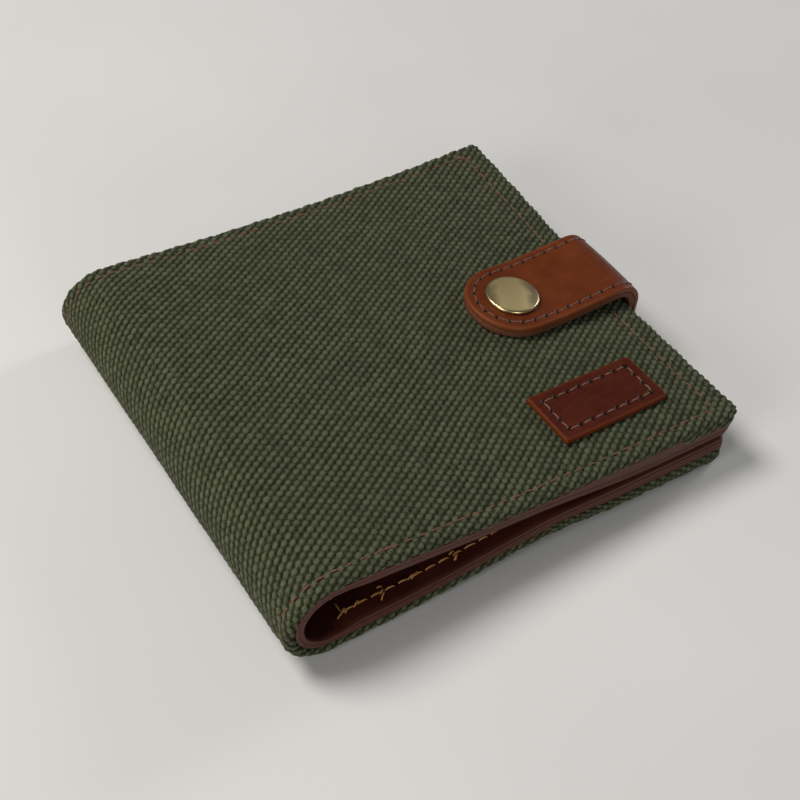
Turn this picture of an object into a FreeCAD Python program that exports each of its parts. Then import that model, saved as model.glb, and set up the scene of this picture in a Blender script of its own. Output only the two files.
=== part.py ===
import FreeCAD, Part
import math
import os

# Bifold wallet lying closed on its back cover, in millimetres.
# +Z is up, +X runs from the spine to the open edge, +Y from the near edge to the far edge.
# The origin is the bottom centre of the wallet's box. Everything is first built with the
# outermost line of the spine at x = 0 and the near edge at y = 0, then shifted once on export.
#
# Each cover is a stack of sheets built flat in its own (u, y, w) frame: u runs from the spine's
# tangent line to the open edge, and w runs inward from the outer canvas face.

# ---- driving dimensions -------------------------------------------------------------------
height = 101.5           # near edge to far edge
front_reach = 112.8      # spine to the front cover's open edge
back_reach = 111.3       # spine to the back cover's open edge
roll_radius = 10.75      # outer radius of the spine's roll
cover_tilt = 3.6         # degrees by which the front cover leans towards the open edge
corner_radius = 2.2      # corners of the covers at the open edge
edge_round = 1.0         # rolled edge of the turned canvas

canvas = 1.2             # one layer of canvas
hem_width = 9.0          # width of the canvas turned inward
fold_slot = 0.1          # air inside the turned hem
lining = 1.0             # leather lining
bill_gap = 0.4           # slack of the empty banknote compartment
sheet = 0.85             # leather of the compartment wall and the card pockets
lining_inset = 0.5       # lining's edge behind the canvas edge
board_room = 0.4         # stiffener's edge clear of the turned canvas
board_slack = 0.05
seam_rim = 5.0           # width of the compartment wall sewn down to the lining
wall_drop = 4.0          # compartment wall ends this far below the far edge
fold_gap = 0.45          # clearance at each fold line of the spine

pocket_start = 5.0       # spine side of the card pockets
front_pocket_top = 46.0  # upper edges of the three card pockets
middle_pocket_top = 60.0
top_pocket_top = 74.0
middle_pocket_foot = 17.0
top_pocket_foot = 31.0
step_run = 6.0           # length over which a pocket climbs onto the one behind it

strap_width = 21.4
strap_layer = 1.4        # one of the strap's two leather layers
strap_clear = 1.0        # air between the strap's underside and the canvas
strap_outer_x = 116.2    # outermost face of the strap beyond the open edge
strap_bottom = 1.5       # lowest face of the strap's lower bend
tail_length = 14.5       # skived strap tail sewn into the back cover's seam
tail_layer = 0.5
hinge_gap = 0.05         # clearance between two lengths of strap at a bend
strap_y = 48.9           # strap's middle line
snap_x = 85.2            # snap centre, which is also the centre of the strap's round end

cap_radius = 6.2
cap_height = 1.9
cap_roll = 0.5           # radius of the cap's rolled rim
cap_wall = 0.6
socket_radius = 5.0
socket_rim = 0.6         # the socket stands this far above the canvas
socket_chamfer = 0.3
socket_mouth = 2.4
stud_radius = 4.75
stud_flange = 0.5
stud_height = 2.0
neck_radius = 1.7
neck_height = 1.25
head_radius = 2.1
barrel_radius = 1.5
rivet_radius = 4.5
rivet_flange = 0.5
spring_radius = 2.05
spring_wire = 0.24
running = 0.05           # clearance between two snap pieces

patch_x = 70.9
patch_y = 9.2
patch_length = 28.4
patch_width = 13.8
patch_thick = 1.5
patch_corner = 1.2

stitch_pitch = 3.2
stitch_length = 2.4
stitch_width = 0.7
stitch_depth = 0.4
edge_inset = 3.2         # stitch line behind the cover's near and far edges
open_inset = 4.9         # stitch line behind the cover's open edge
strap_inset = 2.0
patch_inset = 2.6
pocket_inset = 4.4

# ---- sizes that follow --------------------------------------------------------------------
tilt = math.radians(cover_tilt)
front_start_x = roll_radius * (1 + math.sin(tilt))
front_start_z = roll_radius * (1 + math.cos(tilt))
front_length = (front_reach - front_start_x) / math.cos(tilt)
back_length = back_reach - roll_radius
hem = 2 * canvas
lining_top = hem + lining
wall_base = lining_top + bill_gap
wall_top = wall_base + sheet
strap_thick = 2 * strap_layer
pivot_x = strap_outer_x - strap_layer
lower_pivot_z = strap_bottom + strap_layer


def along_front(x, w=0.0):
    """u on the front cover of the point at height w that stands at this x."""
    return (x - front_start_x + w * math.sin(tilt)) / math.cos(tilt)


def front_z(x, w=0.0):
    """z of the front cover's layer w at this x."""
    return front_start_z - along_front(x, w) * math.sin(tilt) - w * math.cos(tilt)


strap_middle = -(strap_clear + strap_layer)
upper_pivot_u = along_front(pivot_x, strap_middle)
upper_pivot_z = front_z(pivot_x, strap_middle)
snap_u = along_front(snap_x)


# ---- placing ------------------------------------------------------------------------------
def on_back(shape):
    placed = shape.copy()
    placed.translate(FreeCAD.Vector(roll_radius, 0, 0))
    return placed


def lean(shape):
    """Tilts a shape from the level frame of the spine's top into the front cover's plane."""
    shape.rotate(FreeCAD.Vector(0, 0, 0), FreeCAD.Vector(0, 1, 0), cover_tilt)
    shape.translate(FreeCAD.Vector(front_start_x, 0, front_start_z))
    return shape


def on_front(shape):
    return lean(shape.mirror(FreeCAD.Vector(0, 0, 0), FreeCAD.Vector(0, 0, 1)))


def on_front_turned(shape):
    """For a turned part on the strap's middle line, where a half turn does a mirror's job."""
    placed = shape.copy()
    placed.rotate(FreeCAD.Vector(0, strap_y, 0), FreeCAD.Vector(1, 0, 0), 180)
    return lean(placed)


# ---- basic shapes -------------------------------------------------------------------------
def block(x0, x1, y0, y1, z0, z1):
    return Part.makeBox(x1 - x0, y1 - y0, z1 - z0, FreeCAD.Vector(x0, y0, z0))


def disc(x, y, z0, z1, radius):
    return Part.makeCylinder(radius, z1 - z0, FreeCAD.Vector(x, y, z0))


def outline_solid(points, direction):
    """A prism of a closed outline of points, extruded along direction."""
    wire = Part.makePolygon(points + points[:1])
    return Part.Face(wire).extrude(direction)


def round_corners(shape, x_end, radius):
    """Rounds the upright edges that stand at x_end."""
    edges = []
    for edge in shape.Edges:
        box = edge.BoundBox
        if box.XLength < 1e-6 and box.YLength < 1e-6 and abs(box.XMin - x_end) < 1e-6:
            edges.append(edge)
    return shape.makeFillet(radius, edges)


def slab(length, y0, y1, w0, w1, start=0.0):
    """A cover sheet with its two free corners rounded."""
    return round_corners(block(start, length, y0, y1, w0, w1), length, corner_radius)


def spun(wire, u, y):
    """A closed outline in the (radius, w) plane spun about an upright axis at (u, y)."""
    solid = Part.Face(wire).revolve(FreeCAD.Vector(0, 0, 0), FreeCAD.Vector(0, 0, 1), 360)
    solid.translate(FreeCAD.Vector(u, y, 0))
    return solid


def turned(profile, u, y):
    """A turned part whose outline runs straight between (radius, w) points."""
    points = [FreeCAD.Vector(radius, 0, w) for radius, w in profile]
    return spun(Part.makePolygon(points + points[:1]), u, y)


def arc_band(r_in, r_out, y0, y1, trim=0.0):
    """Part of the spine's roll between two radii, trimmed by a length at both fold lines."""
    low = math.radians(270) - trim / r_out
    high = math.radians(90) - tilt + trim / r_out
    middle = (low + high) / 2

    def at(radius, angle):
        x = roll_radius + radius * math.cos(angle)
        return FreeCAD.Vector(x, y0, roll_radius + radius * math.sin(angle))

    outer = Part.Arc(at(r_out, low), at(r_out, middle), at(r_out, high)).toShape()
    inner = Part.Arc(at(r_in, high), at(r_in, middle), at(r_in, low)).toShape()
    top = Part.makeLine(at(r_out, high), at(r_in, high))
    bottom = Part.makeLine(at(r_in, low), at(r_out, low))
    face = Part.Face(Part.Wire([outer, top, inner, bottom]))
    return face.extrude(FreeCAD.Vector(0, y1 - y0, 0))


# ---- stitches -----------------------------------------------------------------------------
def stitch_bar(u, y, w, angle, sink, depth=stitch_depth):
    """One stitch lying along angle (degrees) with its outer face sink below the face at w."""
    bar = block(-stitch_length / 2, stitch_length / 2, -stitch_width / 2, stitch_width / 2,
                sink, sink + depth)
    bar.rotate(FreeCAD.Vector(0, 0, 0), FreeCAD.Vector(0, 0, 1), angle)
    bar.translate(FreeCAD.Vector(u, y, w))
    return bar


def stitch_row(start, end, w, sink=0.0, skip=None):
    """Evenly spaced stitches from start to end, leaving out those whose middle is in skip."""
    length = math.dist(start, end)
    count = round(length / stitch_pitch)
    angle = math.degrees(math.atan2(end[1] - start[1], end[0] - start[0]))
    bars = []
    for i in range(count):
        share = (i + 0.5) / count
        u = start[0] + (end[0] - start[0]) * share
        y = start[1] + (end[1] - start[1]) * share
        if skip is None or not skip(u, y):
            bars.append(stitch_bar(u, y, w, angle, sink))
    return bars


def cut_all(shape, tools):
    return shape.cut(Part.makeCompound(tools))


def over_strap(u, y):
    return abs(y - strap_y) < strap_width / 2 + stitch_length


def edge_stitches(length):
    """Stitches round the near, open and far edges of a cover, sunk flush in the canvas."""
    low = edge_inset
    high = height - edge_inset
    end = length - open_inset
    rows = stitch_row((fold_gap, low), (end, low), 0.0)
    rows += stitch_row((end, low), (end, high), 0.0, skip=over_strap)
    rows += stitch_row((end, high), (fold_gap, high), 0.0)
    return rows


# ---- a cover's sheets ---------------------------------------------------------------------
def cover_canvas(length, stitches):
    """Canvas turned inward along the near, open and far edges, in one piece."""
    shape = slab(length, 0, height, 0, hem)
    rim = []
    for edge in shape.Edges:
        box = edge.BoundBox
        flat = box.ZLength < 1e-6
        at_spine = box.XMax < 1e-6
        if flat and not at_spine:
            rim.append(edge)
    shape = shape.makeFillet(edge_round, rim)
    window = block(-1, length - hem_width, hem_width, height - hem_width, canvas, hem + 1)
    slot = block(-1, length - canvas, canvas, height - canvas, canvas, canvas + fold_slot)
    return cut_all(shape, [window, slot] + stitches)


def stiffener(length):
    low = hem_width + board_room
    return block(1, length - low, low, height - low, canvas + board_slack, hem - board_slack)


def cover_lining(length):
    return slab(length - lining_inset, lining_inset, height - lining_inset, hem, lining_top,
                start=fold_gap)


def bill_wall(length):
    """Inner wall of the banknote compartment, sewn down on its near and open sides."""
    end = length - lining_inset
    top = height - wall_drop
    sheet_part = slab(end, lining_inset, top, wall_base, wall_top, start=fold_gap)
    near_rim = block(fold_gap, end - corner_radius, lining_inset, lining_inset + seam_rim,
                     lining_top, wall_base)
    open_rim = block(end - seam_rim, end, lining_inset + corner_radius, top - corner_radius,
                     lining_top, wall_base)
    return sheet_part.fuse([near_rim, open_rim]).removeSplitter()


def folded_sheet(path, length):
    """A card pocket: a sheet that follows (y, w) points and runs the cover's length."""
    lower = [FreeCAD.Vector(pocket_start, y, w) for y, w in path]
    upper = [FreeCAD.Vector(pocket_start, y, w + sheet) for y, w in reversed(path)]
    return outline_solid(lower + upper, FreeCAD.Vector(length - lining_inset - pocket_start, 0, 0))


def pocket_level(number):
    """Height of the face that a sheet lies on when it is this many sheets above the wall."""
    return wall_top + number * sheet


def climb(foot, number):
    """Points of a pocket's step over the foot of the pocket behind it."""
    return [(foot - step_run, pocket_level(number)), (foot, pocket_level(number + 1))]


def top_pocket(length):
    return folded_sheet([(top_pocket_foot, pocket_level(0)), (top_pocket_top, pocket_level(0))], length)


def middle_pocket(length):
    path = [(middle_pocket_foot, pocket_level(0))]
    path += climb(top_pocket_foot - 1, 0)
    path += [(middle_pocket_top, pocket_level(1))]
    return folded_sheet(path, length)


def front_pocket(length):
    path = [(lining_inset, pocket_level(0))]
    path += climb(middle_pocket_foot - 2, 0)
    path += climb(top_pocket_foot - 3, 1)
    path += [(front_pocket_top, pocket_level(2))]
    return folded_sheet(path, length)


def pocket_stitches(length):
    """Seams of the inside: one along the near edge, one up each side of the card pockets."""
    open_seam = length - pocket_inset
    spine_seam = pocket_start + strap_inset
    flush = -stitch_depth
    bars = stitch_row((spine_seam, pocket_inset), (open_seam, pocket_inset), pocket_level(1), flush)
    flats = [(top_pocket_foot, front_pocket_top, pocket_level(3)),
             (front_pocket_top, middle_pocket_top, pocket_level(2)),
             (middle_pocket_top, top_pocket_top, pocket_level(1)),
             (top_pocket_top, height - wall_drop, pocket_level(0))]
    for low, high, level in flats:
        for seam in (spine_seam, open_seam):
            bars += stitch_row((seam, low), (seam, high), level, flush)
    return bars


# ---- the spine's roll ---------------------------------------------------------------------
def spine_stitches(sink, depth):
    """Stitches round the roll near both of its ends, from sink to sink + depth under its face."""
    low = math.radians(270) - fold_gap / roll_radius
    high = math.radians(90) - tilt + fold_gap / roll_radius
    count = round((low - high) * roll_radius / stitch_pitch)
    bars = []
    for i in range(count):
        angle = low + (high - low) * (i + 0.5) / count
        for y in (edge_inset, height - edge_inset):
            bar = stitch_bar(0, 0, 0, 0, sink, depth)
            turn = 270 - math.degrees(angle)
            bar.rotate(FreeCAD.Vector(0, 0, 0), FreeCAD.Vector(0, 1, 0), turn)
            x = roll_radius + roll_radius * math.cos(angle)
            z = roll_radius + roll_radius * math.sin(angle)
            bar.translate(FreeCAD.Vector(x, y, z))
            bars.append(bar)
    return bars


def spine_canvas(stitches):
    shape = arc_band(roll_radius - hem, roll_radius, 0, height, fold_gap)
    ends = []
    for edge in shape.Edges:
        box = edge.BoundBox
        if box.YLength < 1e-6 and box.ZLength > roll_radius:
            ends.append(edge)
    shape = shape.makeFillet(edge_round, ends)
    r_mid = roll_radius - canvas
    cavity = arc_band(roll_radius - hem - 1, r_mid, hem_width, height - hem_width, -1)
    slot = arc_band(r_mid - fold_slot, r_mid, canvas, height - canvas, -1)
    return cut_all(shape, [cavity, slot] + stitches)


def spine_lining():
    return arc_band(roll_radius - lining_top, roll_radius - hem, lining_inset,
                    height - lining_inset, fold_gap)


def spine_bill_wall():
    return arc_band(roll_radius - wall_top, roll_radius - wall_base, lining_inset,
                    height - wall_drop, fold_gap)


# ---- the strap ----------------------------------------------------------------------------
def strap_base():
    """Lower bend of the strap and the thin tail sewn into the back cover's seam."""
    low_y = strap_y - strap_width / 2
    nose_start = back_reach + 0.2
    tail_start = back_reach - tail_length + hinge_gap
    mid = lower_pivot_z
    nose = Part.makeCylinder(strap_layer, strap_width, FreeCAD.Vector(pivot_x, low_y, mid),
                             FreeCAD.Vector(0, 1, 0))
    body = block(nose_start, pivot_x, low_y, low_y + strap_width, mid - strap_layer,
                 mid + strap_layer)
    tail = block(tail_start, nose_start, low_y, low_y + strap_width, mid - tail_layer,
                 mid + tail_layer)
    whole = body.fuse([nose, tail]).removeSplitter()
    return split_level(whole, mid)


def split_level(whole, level):
    """The part of a shape below a level and the part above it."""
    box = whole.BoundBox
    below = block(box.XMin - 1, box.XMax + 1, box.YMin - 1, box.YMax + 1, box.ZMin - 1, level)
    return whole.common(below), whole.cut(below)


riser_foot = lower_pivot_z + strap_layer + hinge_gap
riser_head = upper_pivot_z - strap_layer - hinge_gap


def riser_stitches():
    """The strap's two seams where they run up its outer face."""
    count = round((riser_head - riser_foot) / stitch_pitch)
    bars = []
    for i in range(count):
        z = riser_foot + (riser_head - riser_foot) * (i + 0.5) / count
        for side in (-1, 1):
            bar = stitch_bar(0, 0, 0, 0, 0.0)
            bar.rotate(FreeCAD.Vector(0, 0, 0), FreeCAD.Vector(0, 1, 0), -90)
            y = strap_y + side * (strap_width / 2 - strap_inset)
            bar.translate(FreeCAD.Vector(strap_outer_x, y, z))
            bars.append(bar)
    return bars


def strap_riser(stitches):
    """Upright length of the strap, outer leather and lining."""
    low_y = strap_y - strap_width / 2
    high_y = low_y + strap_width
    outer = block(pivot_x, strap_outer_x, low_y, high_y, riser_foot, riser_head)
    inner = block(pivot_x - strap_layer, pivot_x, low_y, high_y, riser_foot, riser_head)
    return cut_all(outer, stitches), inner


def strap_tongue(w0, w1):
    """Strap's upper length between two levels: round at the tip, square at the bend."""
    half = strap_width / 2
    plate = block(snap_u, upper_pivot_u, strap_y - half, strap_y + half, w0, w1)
    return plate.fuse(disc(snap_u, strap_y, w0, w1, half)).removeSplitter()


def strap_end(stitches):
    """Upper length of the strap, split into outer leather and lining, with the snap's holes."""
    half = strap_width / 2
    low = -(strap_clear + strap_thick)
    plate = strap_tongue(low, -strap_clear)
    nose = Part.makeCylinder(strap_layer, strap_width,
                             FreeCAD.Vector(upper_pivot_u, strap_y - half, strap_middle),
                             FreeCAD.Vector(0, 1, 0))
    whole = plate.fuse(nose).removeSplitter()
    outer, inner = split_level(whole, strap_middle)
    post_hole = disc(snap_u, strap_y, low - 1, 0, 1.7)
    outer = cut_all(outer, [post_hole] + stitches)
    inner = inner.cut(disc(snap_u, strap_y, low - 1, 0, socket_radius + 0.1))
    return outer, inner


def strap_stitches():
    """Seam round the strap's upper length, following its round end."""
    level = -(strap_clear + strap_thick)
    half = strap_width / 2 - strap_inset
    end = upper_pivot_u - strap_inset
    bars = stitch_row((end, strap_y - half), (snap_u, strap_y - half), level)
    count = round(math.pi * half / stitch_pitch)
    for i in range(count):
        angle = -math.pi / 2 - math.pi * (i + 0.5) / count
        u = snap_u + half * math.cos(angle)
        y = strap_y + half * math.sin(angle)
        bars.append(stitch_bar(u, y, level, math.degrees(angle) + 90, 0.0))
    bars += stitch_row((snap_u, strap_y + half), (end, strap_y + half), level)
    return bars


# ---- the snap fastener --------------------------------------------------------------------
strap_top = -(strap_clear + strap_thick)


def snap_cap():
    """Domed cap with a rolled rim and the post that is riveted through the strap."""
    top = strap_top - cap_height
    shoulder = strap_top - 2 * cap_roll
    rim_in = cap_radius - cap_roll
    rise = shoulder - top
    dome_radius = (rim_in ** 2 + rise ** 2) / (2 * rise)
    half_dome = math.asin(rim_in / dome_radius) / 2

    def at(radius, w):
        return FreeCAD.Vector(radius, 0, w)

    floor = Part.makeLine(at(0, strap_top), at(rim_in, strap_top))
    rim = Part.Arc(at(rim_in, strap_top), at(cap_radius, strap_top - cap_roll),
                   at(rim_in, shoulder)).toShape()
    crown = at(dome_radius * math.sin(half_dome),
               top + dome_radius * (1 - math.cos(half_dome)))
    dome = Part.Arc(at(rim_in, shoulder), crown, at(0, top)).toShape()
    axis = Part.makeLine(at(0, top), at(0, strap_top))
    shell = spun(Part.Wire([floor, rim, dome, axis]), snap_u, strap_y)
    hollow = disc(snap_u, strap_y, shoulder, strap_top + 1, rim_in - cap_wall)
    post = disc(snap_u, strap_y, shoulder - 0.1, strap_middle + 0.2, barrel_radius)
    return shell.cut(hollow).fuse(post).removeSplitter()


def snap_socket():
    """Socket recessed in the strap's lining, with a mouth for the stud and a hole for the post."""
    ceiling = strap_middle + 0.25
    hole = barrel_radius + running
    edge = socket_radius - socket_chamfer
    profile = [(hole, strap_middle), (socket_radius, strap_middle),
               (socket_radius, -socket_rim - socket_chamfer), (edge, -socket_rim),
               (socket_mouth, -socket_rim), (socket_mouth, ceiling), (hole, ceiling)]
    return turned(profile, snap_u, strap_y)


def snap_spring():
    """Ring spring in the socket's mouth that grips behind the stud's head."""
    ring = Part.makeTorus(spring_radius, spring_wire)
    ring.translate(FreeCAD.Vector(snap_u, strap_y, -neck_height + spring_wire))
    return ring


def snap_stud():
    """Male half on the front cover: flange, neck and head, hollow for its rivet."""
    hole = barrel_radius + running
    taper = stud_height - 0.25
    profile = [(hole, 0), (stud_radius, 0), (stud_radius, -0.3), (stud_radius - 0.55, -stud_flange),
               (neck_radius, -stud_flange), (neck_radius, -neck_height),
               (head_radius, -neck_height - 0.15), (head_radius, -taper), (1.75, -stud_height),
               (0, -stud_height), (0, -taper), (hole, -taper)]
    return turned(profile, snap_u, strap_y)


def stud_rivet():
    """Rivet through canvas and board that holds the stud from inside."""
    inner = hem - running
    under = inner - rivet_flange
    tip = -stud_height + 0.4
    profile = [(0, inner), (rivet_radius, inner), (rivet_radius, under), (barrel_radius, under),
               (barrel_radius, tip), (0, tip)]
    return turned(profile, snap_u, strap_y)


def rivet_room():
    """Space that the stud's rivet takes in canvas and board."""
    under = hem - running - rivet_flange
    barrel = disc(snap_u, strap_y, -1, hem + 1, barrel_radius + running)
    return [barrel, disc(snap_u, strap_y, under, hem + 1, rivet_radius + running)]


# ---- the leather patch --------------------------------------------------------------------
def patch_corners(inset):
    u0 = along_front(patch_x) + inset
    u1 = along_front(patch_x) + patch_length - inset
    y0 = patch_y + inset
    y1 = patch_y + patch_width - inset
    return [(u0, y0), (u1, y0), (u1, y1), (u0, y1)]


def patch_stitches():
    corners = patch_corners(patch_inset)
    bars = []
    for i in range(4):
        bars += stitch_row(corners[i], corners[(i + 1) % 4], -patch_thick)
    return bars


def leather_patch(stitches):
    (u0, y0), _, (u1, y1), _ = patch_corners(0)
    plate = block(u0, u1, y0, y1, -patch_thick, 0)
    upright = [e for e in plate.Edges if e.BoundBox.ZLength > patch_thick / 2]
    plate = plate.makeFillet(patch_corner, upright)
    return cut_all(plate, stitches)


# ---- assembling ---------------------------------------------------------------------------
def cover_nodes(side, length, place):
    """The sheets and seams that both covers share."""
    edge = edge_stitches(length)
    seams = pocket_stitches(length)
    sheets = {
        "canvas": cover_canvas(length, edge),
        "stiffener": stiffener(length),
        "lining": cover_lining(length),
        "bill_wall": cut_all(bill_wall(length), seams),
        "card_pocket_top": cut_all(top_pocket(length), seams),
        "card_pocket_middle": cut_all(middle_pocket(length), seams),
        "card_pocket_front": cut_all(front_pocket(length), seams),
        "edge_stitching": Part.makeCompound(edge),
        "pocket_stitching": Part.makeCompound(seams),
    }
    if side == "front":
        sheets["canvas"] = cut_all(sheets["canvas"], rivet_room())
        sheets["stiffener"] = cut_all(sheets["stiffener"], rivet_room())
    else:
        half = strap_width / 2 + 0.2
        notch = block(length - tail_length, length + 1, strap_y - half, strap_y + half,
                      hem - 1, lining_top)
        sheets["lining"] = sheets["lining"].cut(notch)
    return {f"{side}_{name}": place(shape) for name, shape in sheets.items()}


def wallet():
    nodes = cover_nodes("back", back_length, on_back)
    nodes.update(cover_nodes("front", front_length, on_front))

    bulge = stitch_length ** 2 / (8 * roll_radius)
    roll_seam = spine_stitches(bulge, stitch_depth)
    nodes["spine_canvas"] = spine_canvas(spine_stitches(-bulge, stitch_depth + 2 * bulge))
    nodes["spine_lining"] = spine_lining()
    nodes["spine_bill_wall"] = spine_bill_wall()
    nodes["spine_stitching"] = Part.makeCompound(roll_seam)

    patch_seam = patch_stitches()
    nodes["leather_patch"] = on_front(leather_patch(patch_seam))
    nodes["patch_stitching"] = on_front(Part.makeCompound(patch_seam))

    nodes["strap_base_outer"], nodes["strap_base_lining"] = strap_base()
    riser_seam = riser_stitches()
    nodes["strap_riser_outer"], nodes["strap_riser_lining"] = strap_riser(riser_seam)
    nodes["strap_riser_stitching"] = Part.makeCompound(riser_seam)
    strap_seam = strap_stitches()
    outer, inner = strap_end(strap_seam)
    nodes["strap_end_outer"] = on_front(outer)
    nodes["strap_end_lining"] = on_front(inner)
    nodes["strap_end_stitching"] = on_front(Part.makeCompound(strap_seam))

    for maker in (snap_cap, snap_socket, snap_spring, snap_stud, stud_rivet):
        nodes[maker.__name__] = on_front_turned(maker())
    return nodes


def fold_pivot():
    """Axis about which half of the roll swings so that it unrolls to its own length."""
    half_angle = (math.pi + tilt) / 2
    reach = roll_radius * half_angle
    ax = roll_radius - roll_radius * math.sin(half_angle)
    az = roll_radius - roll_radius * math.cos(half_angle)
    bx = roll_radius - reach
    grip = 2 * math.tan(half_angle / 2)
    return (ax + bx) / 2 + az / grip, az / 2 + (bx - ax) / grip


def report_axes():
    """Prints the joint axes in the exported frame, for the motion record."""
    px, pz = fold_pivot()
    half_angle = (math.pi + tilt) / 2
    nx = math.cos(half_angle)
    nz = -math.sin(half_angle)
    dx = px - roll_radius
    dz = pz - roll_radius
    across = dx * nx + dz * nz
    mirrored = (px - 2 * across * nx, pz - 2 * across * nz)
    for name, (x, z) in {"spine_fold": (px, pz), "cover_fold": mirrored,
                         "strap_swing": (pivot_x, lower_pivot_z),
                         "strap_lift": (pivot_x, upper_pivot_z)}.items():
        print(f"{name}: x {x - strap_outer_x / 2:.4f}  z {z:.4f}")
    print(f"half fold angle {math.degrees(half_angle):.3f}")


def export(nodes):
    os.makedirs("parts", exist_ok=True)
    for name, shape in nodes.items():
        placed = shape.copy()
        placed.translate(FreeCAD.Vector(-strap_outer_x / 2, -height / 2, 0))
        placed.exportStep(f"parts/{name}.step")


export(wallet())
report_axes()
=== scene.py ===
import bpy
import math
import numpy as np
from mathutils import Matrix, Vector


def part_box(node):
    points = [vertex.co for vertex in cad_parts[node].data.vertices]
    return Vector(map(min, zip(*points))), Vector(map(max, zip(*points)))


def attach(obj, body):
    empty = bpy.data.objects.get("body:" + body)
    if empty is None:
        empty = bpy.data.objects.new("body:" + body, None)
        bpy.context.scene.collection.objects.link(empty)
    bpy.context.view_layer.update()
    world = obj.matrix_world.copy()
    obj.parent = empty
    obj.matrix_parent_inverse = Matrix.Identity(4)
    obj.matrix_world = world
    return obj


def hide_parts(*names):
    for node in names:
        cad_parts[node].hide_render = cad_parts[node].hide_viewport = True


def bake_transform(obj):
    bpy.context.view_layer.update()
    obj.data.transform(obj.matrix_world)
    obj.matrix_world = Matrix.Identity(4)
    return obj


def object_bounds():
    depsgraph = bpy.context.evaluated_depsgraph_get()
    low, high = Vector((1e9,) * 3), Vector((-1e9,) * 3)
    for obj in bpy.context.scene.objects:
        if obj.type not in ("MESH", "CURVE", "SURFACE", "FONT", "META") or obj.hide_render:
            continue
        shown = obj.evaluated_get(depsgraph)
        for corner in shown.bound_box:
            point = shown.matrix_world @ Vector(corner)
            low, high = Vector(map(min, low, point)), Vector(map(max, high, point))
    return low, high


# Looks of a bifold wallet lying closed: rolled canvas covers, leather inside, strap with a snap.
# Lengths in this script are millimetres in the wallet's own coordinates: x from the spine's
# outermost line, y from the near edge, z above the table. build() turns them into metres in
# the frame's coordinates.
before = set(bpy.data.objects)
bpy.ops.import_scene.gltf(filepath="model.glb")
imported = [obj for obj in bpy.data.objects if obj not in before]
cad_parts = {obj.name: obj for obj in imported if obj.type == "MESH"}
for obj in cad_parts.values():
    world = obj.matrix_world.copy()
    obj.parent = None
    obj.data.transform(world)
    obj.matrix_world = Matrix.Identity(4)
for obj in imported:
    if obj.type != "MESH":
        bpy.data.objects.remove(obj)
cad_box = [list(corner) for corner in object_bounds()]

MM = 0.001
spine_x = cad_box[0][0]
near_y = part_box("front_canvas")[0].y


def mm_box(node):
    """Lowest and highest corner of a CAD node in the wallet's own millimetres."""
    low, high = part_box(node)
    shift = np.array([spine_x, near_y, 0.0])
    return (np.array(low) - shift) / MM, (np.array(high) - shift) / MM


# ---- sizes taken from the frame ----
height = mm_box("front_canvas")[1][1]
canvas_low, canvas_high = mm_box("back_canvas")
roll_radius, back_reach, hem = canvas_low[0], canvas_high[0], canvas_high[2]
lining_top = mm_box("back_lining")[1][2]
lining_inset = mm_box("back_lining")[0][1]
wall_base, wall_far = mm_box("back_bill_wall")[0][2], mm_box("back_bill_wall")[1][1]
sheet = mm_box("back_card_pocket_top")[1][2] - mm_box("back_bill_wall")[1][2]
pocket_start = (mm_box("back_card_pocket_top")[0][0] - roll_radius) * 0.2
pocket_rows = {row: (mm_box(f"back_card_pocket_{row}")[0][1], mm_box(f"back_card_pocket_{row}")[1][1])
               for row in ("top", "middle", "front")}
strap_tip, strap_near = mm_box("strap_end_outer")[0][:2]
strap_far = mm_box("strap_end_outer")[1][1]
strap_out = mm_box("strap_riser_outer")[1][0]
strap_tail, _, strap_low = mm_box("strap_base_outer")[0]
snap_low, snap_high = mm_box("snap_cap")
snap_x, snap_y = (snap_low[:2] + snap_high[:2]) / 2
socket_radius = (mm_box("snap_socket")[1][1] - mm_box("snap_socket")[0][1]) / 2
patch_low, patch_high = mm_box("leather_patch")

# ---- sizes of the looks ----
tilt = math.radians(3.6)         # lean of the front cover towards the open edge
front_reach = 112.8              # x of the front cover's open edge
bow_height = 2.6                 # most that the back cover bows up from the table
curl_height = 6.75               # rise of the front cover's far corner before its sag
rim = hem / 2                    # radius of the turned canvas edge
corner_core = 1.0                # flat part of the corner radius
hem_width = 9.0                  # width of the turned canvas over the inside
board_face = 1.25                # outer face of the stiffener
board_room = 0.05                # play between the stiffener and the canvas
edge_inset = 3.1                 # seam behind the cover's near and far edges
open_inset = 5.4                 # seam behind the cover's open edge
edge_bend = 0.10                 # rounding of a leather sheet's cut edge
sheet_gap = 0.02                 # play between leather sheets
stitch_pitch = 3.2
yarn_x = 1.47                    # spacing of the yarns that run across the wallet
yarn_y = 0.88                    # spacing of the yarns that run along it
nub_height = 0.42
nub_long, nub_wide = 1.0, 0.65   # half lengths of a nub along and across its diagonal
edge_show = 0.35                 # leather's near edge behind the canvas edge
strap_layer = 1.4                # each of the strap's two leathers
strap_lift = 2.4                 # strap's middle layer above the canvas in the frame
strap_sink = 0.75                # how much lower the strap really lies
strap_crest = 2.2                # how much higher its bend arches
patch_thick = 1.5
patch_skew = math.radians(1.2)   # the patch is sewn on slightly askew
hole_radius, hole_depth = 0.40, 0.45

half_roll = roll_radius * (math.pi + tilt) / 2
mid_angle = math.pi - tilt / 2
front_start_x = roll_radius * (1 + math.sin(tilt))
front_start_z = roll_radius * (1 + math.cos(tilt))
back_end = half_roll + back_reach - roll_radius
front_end = half_roll + (front_reach - front_start_x) / math.cos(tilt)
cover_end = {"back": back_end, "front": front_end}
strap_y = (strap_near + strap_far) / 2
random = np.random.default_rng(11)


# ---- small maths ----
def smooth(value):
    t = np.clip(value, 0, 1)
    return t * t * (3 - 2 * t)


def bell(x, centre, width):
    return np.exp(-((x - centre) / width) ** 2 / 2)


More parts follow.
